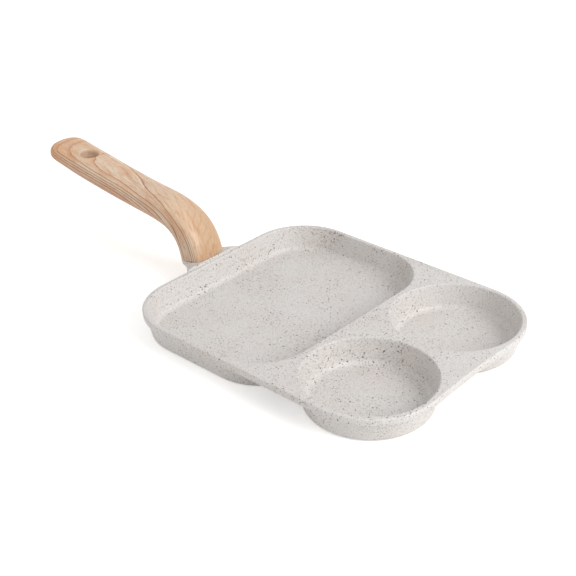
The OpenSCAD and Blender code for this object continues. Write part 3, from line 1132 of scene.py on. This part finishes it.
def closed_loft(name: str, rings: list[np.ndarray]) -> bpy.types.Object:
    """Makes a closed mesh through rings with the same number of points.

    Args:
        name: Name of the object.
        rings: Points of each ring in millimetres, first to last.

    Returns:
        The new object, with its faces pointing outwards.
    """
    count = len(rings[0])
    faces = []
    for ring in range(0, (len(rings) - 1) * count, count):
        for i, j in zip(range(count), [*range(1, count), 0]):
            faces.append((ring + i, ring + j, ring + count + j, ring + count + i))
    faces.append(tuple(range(count))[::-1])
    faces.append(tuple(range((len(rings) - 1) * count, len(rings) * count)))
    mesh = bpy.data.meshes.new(name)
    mesh.from_pydata([tuple(p * MM) for ring in rings for p in ring], [], faces)
    mesh.validate()
    turn_outwards(mesh)
    loft = bpy.data.objects.new(name, mesh)
    bpy.context.scene.collection.objects.link(loft)
    return loft


def turn_outwards(mesh: bpy.types.Mesh) -> None:
    """Turns a closed mesh's faces outwards if its volume comes out negative.

    Args:
        mesh: Closed mesh whose faces all turn the same way.
    """
    mesh.calc_loop_triangles()
    co = [v.co for v in mesh.vertices]
    volume = sum(co[a].dot(co[b].cross(co[c])) for a, b, c in (t.vertices for t in mesh.loop_triangles))
    if volume < 0:
        mesh.flip_normals()


def to_plain_mesh(source: bpy.types.Object, name: str) -> bpy.types.Object:
    """Turns an object with live modifiers into a plain mesh object, and removes the source.

    Args:
        source: Object to evaluate.
        name: Name of the new object.

    Returns:
        The new object, at the origin.
    """
    graph = bpy.context.evaluated_depsgraph_get()
    mesh = bpy.data.meshes.new_from_object(source.evaluated_get(graph))
    mesh.name = name
    bpy.data.objects.remove(source)
    plain = bpy.data.objects.new(name, mesh)
    bpy.context.scene.collection.objects.link(plain)
    return plain


def section_sweep_tree() -> Tree:
    """Makes the Geometry Nodes tree that sweeps one rounded section along a chain of points.

    The chain's points carry half_t and half_w, the section's half sizes square to Y and along Y, and
    roundness, its power: 2 is an ellipse, more is squarer.

    Returns:
        The node tree, with the inputs Points and Material.
    """
    tree = bpy.data.node_groups.new("section_sweep", "GeometryNodeTree")
    for name, kind, way in (("Geometry", "NodeSocketGeometry", "INPUT"),
                            ("Points", "NodeSocketInt", "INPUT"),
                            ("Material", "NodeSocketMaterial", "INPUT"),
                            ("Geometry", "NodeSocketGeometry", "OUTPUT")):
        tree.interface.new_socket(name=name, in_out=way, socket_type=kind)
    given = add_node(tree, "NodeGroupInput")
    path = add_node(tree, "GeometryNodeMeshToCurve", {"Mesh": given.outputs["Geometry"]})
    keep = tree.nodes.new("GeometryNodeCaptureAttribute")
    tree.links.new(path.outputs["Curve"], keep.inputs["Geometry"])
    for name, kind in (("Spine", "GeometryNodeInputPosition"), ("Heading", "GeometryNodeInputTangent")):
        keep.capture_items.new("VECTOR", name)
        tree.links.new(add_node(tree, kind).outputs[0], keep.inputs[name])
    ring = add_node(tree, "GeometryNodeCurvePrimitiveCircle", {
        "Resolution": given.outputs["Points"], "Radius": 1.0})
    swept = add_node(tree, "GeometryNodeCurveToMesh", {
        "Curve": keep.outputs["Geometry"], "Profile Curve": ring.outputs["Curve"], "Fill Caps": True})
    side = (0.0, 1.0, 0.0)
    face = add_node(tree, "ShaderNodeVectorMath", {
        0: keep.outputs["Heading"], 1: side}, operation="CROSS_PRODUCT")
    offset = add_node(tree, "ShaderNodeVectorMath", {
        0: add_node(tree, "GeometryNodeInputPosition").outputs[0],
        1: keep.outputs["Spine"]}, operation="SUBTRACT")
    power = add_node(tree, "GeometryNodeInputNamedAttribute", {"Name": "roundness"}, data_type="FLOAT")
    exponent = add_node(tree, "ShaderNodeMath", {0: 2.0, 1: power.outputs["Attribute"]}, operation="DIVIDE")
    moved = keep.outputs["Spine"]
    for direction, size in ((side, "half_w"), (face.outputs[0], "half_t")):
        reach = add_node(tree, "ShaderNodeVectorMath", {
            0: offset.outputs[0], 1: direction}, operation="DOT_PRODUCT")
        share = squared_up(tree, reach.outputs["Value"], exponent.outputs[0])
        half = add_node(tree, "GeometryNodeInputNamedAttribute", {"Name": size}, data_type="FLOAT")
        length = add_node(tree, "ShaderNodeMath", {
            0: share, 1: half.outputs["Attribute"]}, operation="MULTIPLY")
        step = add_node(tree, "ShaderNodeVectorMath", {
            0: direction, "Scale": length.outputs[0]}, operation="SCALE")
        moved = add_node(tree, "ShaderNodeVectorMath", {
            0: moved, 1: step.outputs[0]}, operation="ADD").outputs[0]
    placed = add_node(tree, "GeometryNodeSetPosition", {
        "Geometry": swept.outputs["Mesh"], "Position": moved})
    welded = add_node(tree, "GeometryNodeMergeByDistance", {
        "Geometry": placed.outputs[0], "Distance": 0.01 * MM})
    real = add_node(tree, "GeometryNodeRealizeInstances", {"Geometry": welded.outputs[0]})
    finished = add_node(tree, "GeometryNodeSetMaterial", {
        "Geometry": real.outputs[0], "Material": given.outputs["Material"]})
    add_node(tree, "NodeGroupOutput", {"Geometry": finished.outputs[0]})
    return tree


def squared_up(tree: Tree, value: Socket, exponent: Socket) -> Socket:
    """Adds the nodes that turn a circle's sine or cosine into that of the squarer section.

    Args:
        tree: Tree that the nodes are added to.
        value: Value from -1 to 1.
        exponent: Exponent that it is raised by, keeping its sign.

    Returns:
        The section's value from -1 to 1.
    """
    size = add_node(tree, "ShaderNodeMath", {0: value}, operation="ABSOLUTE")
    raised = add_node(tree, "ShaderNodeMath", {0: size.outputs[0], 1: exponent}, operation="POWER")
    sign = add_node(tree, "ShaderNodeMath", {0: value}, operation="SIGN")
    signed = add_node(tree, "ShaderNodeMath", {
        0: raised.outputs[0], 1: sign.outputs[0]}, operation="MULTIPLY")
    return signed.outputs[0]


@dataclass
class HandleFixing:
    """The screw and washers under the neck and the insert in the handle."""

    pieces: tuple[tuple[str, Metal], ...] = (
        ("handle_screw", Metal.STAINLESS),
        ("flat_washer", Metal.STAINLESS),
        ("spring_washer", Metal.STAINLESS),
        ("thread_insert", Metal.BRASS),
    )

    def build(self) -> list[bpy.types.Object]:
        """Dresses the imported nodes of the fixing."""
        finishes = {metal: metal.value.material() for metal in Metal}
        return [dressed(name, finishes[metal]) for name, metal in self.pieces]


@dataclass
class Studio:
    """Pale floor, soft light and the camera at the photograph's viewing angle."""

    azimuth: float = 42.36
    elevation: float = 29.55
    roll: float = -1.05
    distance: float = 0.8499
    focal_px: float = 1179.9
    target: tuple[float, float, float] = (0.00274, 0.00209, 0.021)
    picture_px: int = 576
    sensor_mm: float = 36.0
    floor_half: float = 6.0
    floor_colour: str = "#F4F3F1"
    floor_lift: float = 0.45
    ambient: float = 0.66
    key_azimuth: float = 9.0
    key_elevation: float = 34.0
    key_distance: float = 1.6
    key_size: float = 0.9
    key_power: float = 13.6

    def build(self) -> None:
        """Makes the camera, the floor, the world and the lamp."""
        self._camera()
        self._floor()
        self._world()
        self._key_lamp()
        bpy.context.scene.view_settings.view_transform = "Standard"

    def _placed(self, name: str, data: bpy.types.ID, away: Vector, distance: float,
                roll: float = 0.0) -> bpy.types.Object:
        """Places a camera or lamp so that it faces the target.

        Args:
            name: Name of the object.
            data: Camera or light.
            away: Unit heading from the target to the object.
            distance: Distance from the target.
            roll: Turn about its own line of sight, in degrees.

        Returns:
            The new object.
        """
        placed = bpy.data.objects.new(name, data)
        turn = away.to_track_quat("Z", "Y").to_matrix() @ Matrix.Rotation(math.radians(roll), 3, "Z")
        placed.matrix_world = Matrix.Translation(Vector(self.target) + away * distance) @ turn.to_4x4()
        bpy.context.scene.collection.objects.link(placed)
        return placed

    def _camera(self) -> None:
        """Camera of the fitted viewing angle, distance and lens."""
        turn, lift = math.radians(self.azimuth), math.radians(self.elevation)
        away = Vector((math.sin(turn) * math.cos(lift), -math.cos(turn) * math.cos(lift), math.sin(lift)))
        data = bpy.data.cameras.new("camera")
        data.sensor_width = self.sensor_mm
        data.lens = self.focal_px * self.sensor_mm / self.picture_px
        bpy.context.scene.camera = self._placed("camera", data, away, self.distance, self.roll)

    def _floor(self) -> None:
        """Large pale floor that shows white to the camera and keeps the soft shadow."""
        h = self.floor_half
        mesh = bpy.data.meshes.new("floor")
        mesh.from_pydata([(-h, -h, 0), (h, -h, 0), (h, h, 0), (-h, h, 0)], [], [(0, 1, 2, 3)])
        floor = bpy.data.objects.new("floor", mesh)
        bpy.context.scene.collection.objects.link(floor)
        material = bpy.data.materials.new("pale_floor")
        material.use_nodes = True
        tree = material.node_tree
        tree.nodes.clear()
        matt = add_node(tree, "ShaderNodeBsdfDiffuse", {"Color": linear(self.floor_colour)})
        glow = add_node(tree, "ShaderNodeEmission", {
            "Color": WHITE, "Strength": self._seen(tree, 0.0, self.floor_lift)})
        both = add_node(tree, "ShaderNodeAddShader", {0: matt.outputs[0], 1: glow.outputs[0]})
        add_node(tree, "ShaderNodeOutputMaterial", {"Surface": both.outputs[0]})
        mesh.materials.append(material)

    def _seen(self, tree: Tree, hidden: float, shown: float) -> Socket:
        """Tells the rays that the eye follows, from camera, gloss or glass, from the rest.

        Args:
            tree: Tree that the nodes are added to.
            hidden: Value for the rays that only carry light.
            shown: Value for the rays that the eye follows.

        Returns:
            The value for each ray.
        """
        rays = add_node(tree, "ShaderNodeLightPath")
        eye = rays.outputs["Is Camera Ray"]
        for kind in ("Is Glossy Ray", "Is Transmission Ray"):
            eye = add_node(tree, "ShaderNodeMath", {
                0: eye, 1: rays.outputs[kind]}, operation="MAXIMUM").outputs[0]
        value = add_node(tree, "ShaderNodeMapRange", Band(0.0, 1.0, shown, hidden).over(eye))
        return value.outputs["Result"]

    def _world(self) -> None:
        """White surroundings that light the object evenly and show white."""
        world = bpy.data.worlds.new("surroundings")
        world.use_nodes = True
        tree = world.node_tree
        tree.nodes.clear()
        light = add_node(tree, "ShaderNodeBackground", {
            "Color": WHITE, "Strength": self._seen(tree, self.ambient, 1.0)})
        add_node(tree, "ShaderNodeOutputWorld", {"Surface": light.outputs[0]})
        bpy.context.scene.world = world

    def _key_lamp(self) -> None:
        """Square soft lamp past the cups, which faces the object."""
        turn, lift = math.radians(self.key_azimuth), math.radians(self.key_elevation)
        away = Vector((math.cos(turn) * math.cos(lift), math.sin(turn) * math.cos(lift), math.sin(lift)))
        data = bpy.data.lights.new("key", "AREA")
        data.size = self.key_size
        data.energy = self.key_power
        self._placed("key", data, away, self.key_distance)


def main() -> None:
    """Builds the studio and then the pan's sub-assemblies, and reports each piece."""
    logging.basicConfig(level=logging.INFO, format="%(name)s: %(message)s")
    Studio().build()
    for assembly in (Casting(), Handle(), HandleFixing()):
        for piece in assembly.build():
            mesh = piece.data
            LOG.info("%s: %d faces in %s", piece.name, len(mesh.polygons), mesh.materials[0].name)


if __name__ == "__main__":
    main()
